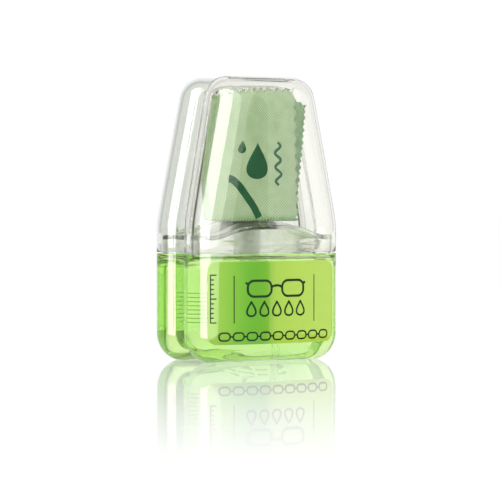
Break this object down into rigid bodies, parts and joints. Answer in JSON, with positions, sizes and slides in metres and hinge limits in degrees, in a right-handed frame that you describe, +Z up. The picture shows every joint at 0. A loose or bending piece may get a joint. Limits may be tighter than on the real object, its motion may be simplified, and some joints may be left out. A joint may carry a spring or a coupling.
{
  "type": "lens cleaning spray",
  "caption": "Pocket lens cleaning spray: two-lobed clear bottle of green fluid with a screw-on finger pump, under a clear tapered over-cap that holds a folded cloth.",
  "frame": {"origin": "middle of the base, on the surface the bottle stands on, on the pump's axis", "axes": "+Z up along the pump axis; the front lobe with the large label faces -Y; X runs across the width"},
  "size_m": [0.045, 0.0308, 0.074],
  "materials": {
    "clear_plastic": "clear, polished mould",
    "green_fluid": "clear dyed liquid",
    "lime_film": "printed translucent film",
    "microfibre": "fine knitted microfibre, pinked edges",
    "white_plastic": "satin moulded polypropylene",
    "natural_plastic": "natural translucent polypropylene",
    "grey_rubber": "soft seal",
    "spring_steel": "drawn stainless wire"
  },
  "bodies": {
    "bottle": {"bottle": "clear_plastic", "cleaning_fluid": "green_fluid", "front_label": "lime_film", "rear_label": "lime_film"},
    "cap": {"over_cap": "clear_plastic", "cleaning_cloth": "microfibre"},
    "pump": {"pump_housing": "natural_plastic", "housing_retainer": "natural_plastic", "neck_gasket": "grey_rubber", "dip_tube": "natural_plastic", "return_spring": "spring_steel"},
    "collar": {"closure_collar": "white_plastic"},
    "actuator": {"actuator_button": "white_plastic", "orifice_insert": "white_plastic", "pump_stem": "natural_plastic", "piston": "natural_plastic", "stem_plug": "natural_plastic", "precompression_spring": "spring_steel"},
    "valve_ball": {"check_ball": "spring_steel"}
  },
  "joints": [
    {"name": "cap_lift", "type": "slide", "parent": "bottle", "child": "cap", "axis": [0, 0, 1], "range_m": [0, 0.05]},
    {"name": "pump_lift", "type": "slide", "parent": "bottle", "child": "pump", "axis": [0, 0, 1], "range_m": [0, 0.00313]},
    {"name": "collar_turn", "type": "hinge", "parent": "pump", "child": "collar", "pos_m": [0, 0, 0.0372], "axis": [0, 0, 1], "range_deg": [0, 450]},
    {"name": "button_press", "type": "slide", "parent": "pump", "child": "actuator", "axis": [0, 0, -1], "range_m": [0, 0.004], "stiffness_N_per_m": 1500, "springref_m": -0.0004, "deforming": ["return_spring"]},
    {"name": "ball_lift", "type": "slide", "parent": "pump", "child": "valve_ball", "axis": [0, 0, 1], "range_m": [0, 0.0008]}
  ],
  "couplings": [
    {"joint": "collar_turn", "follows": "pump_lift", "rad_per_m": 2513.3}
  ]
}
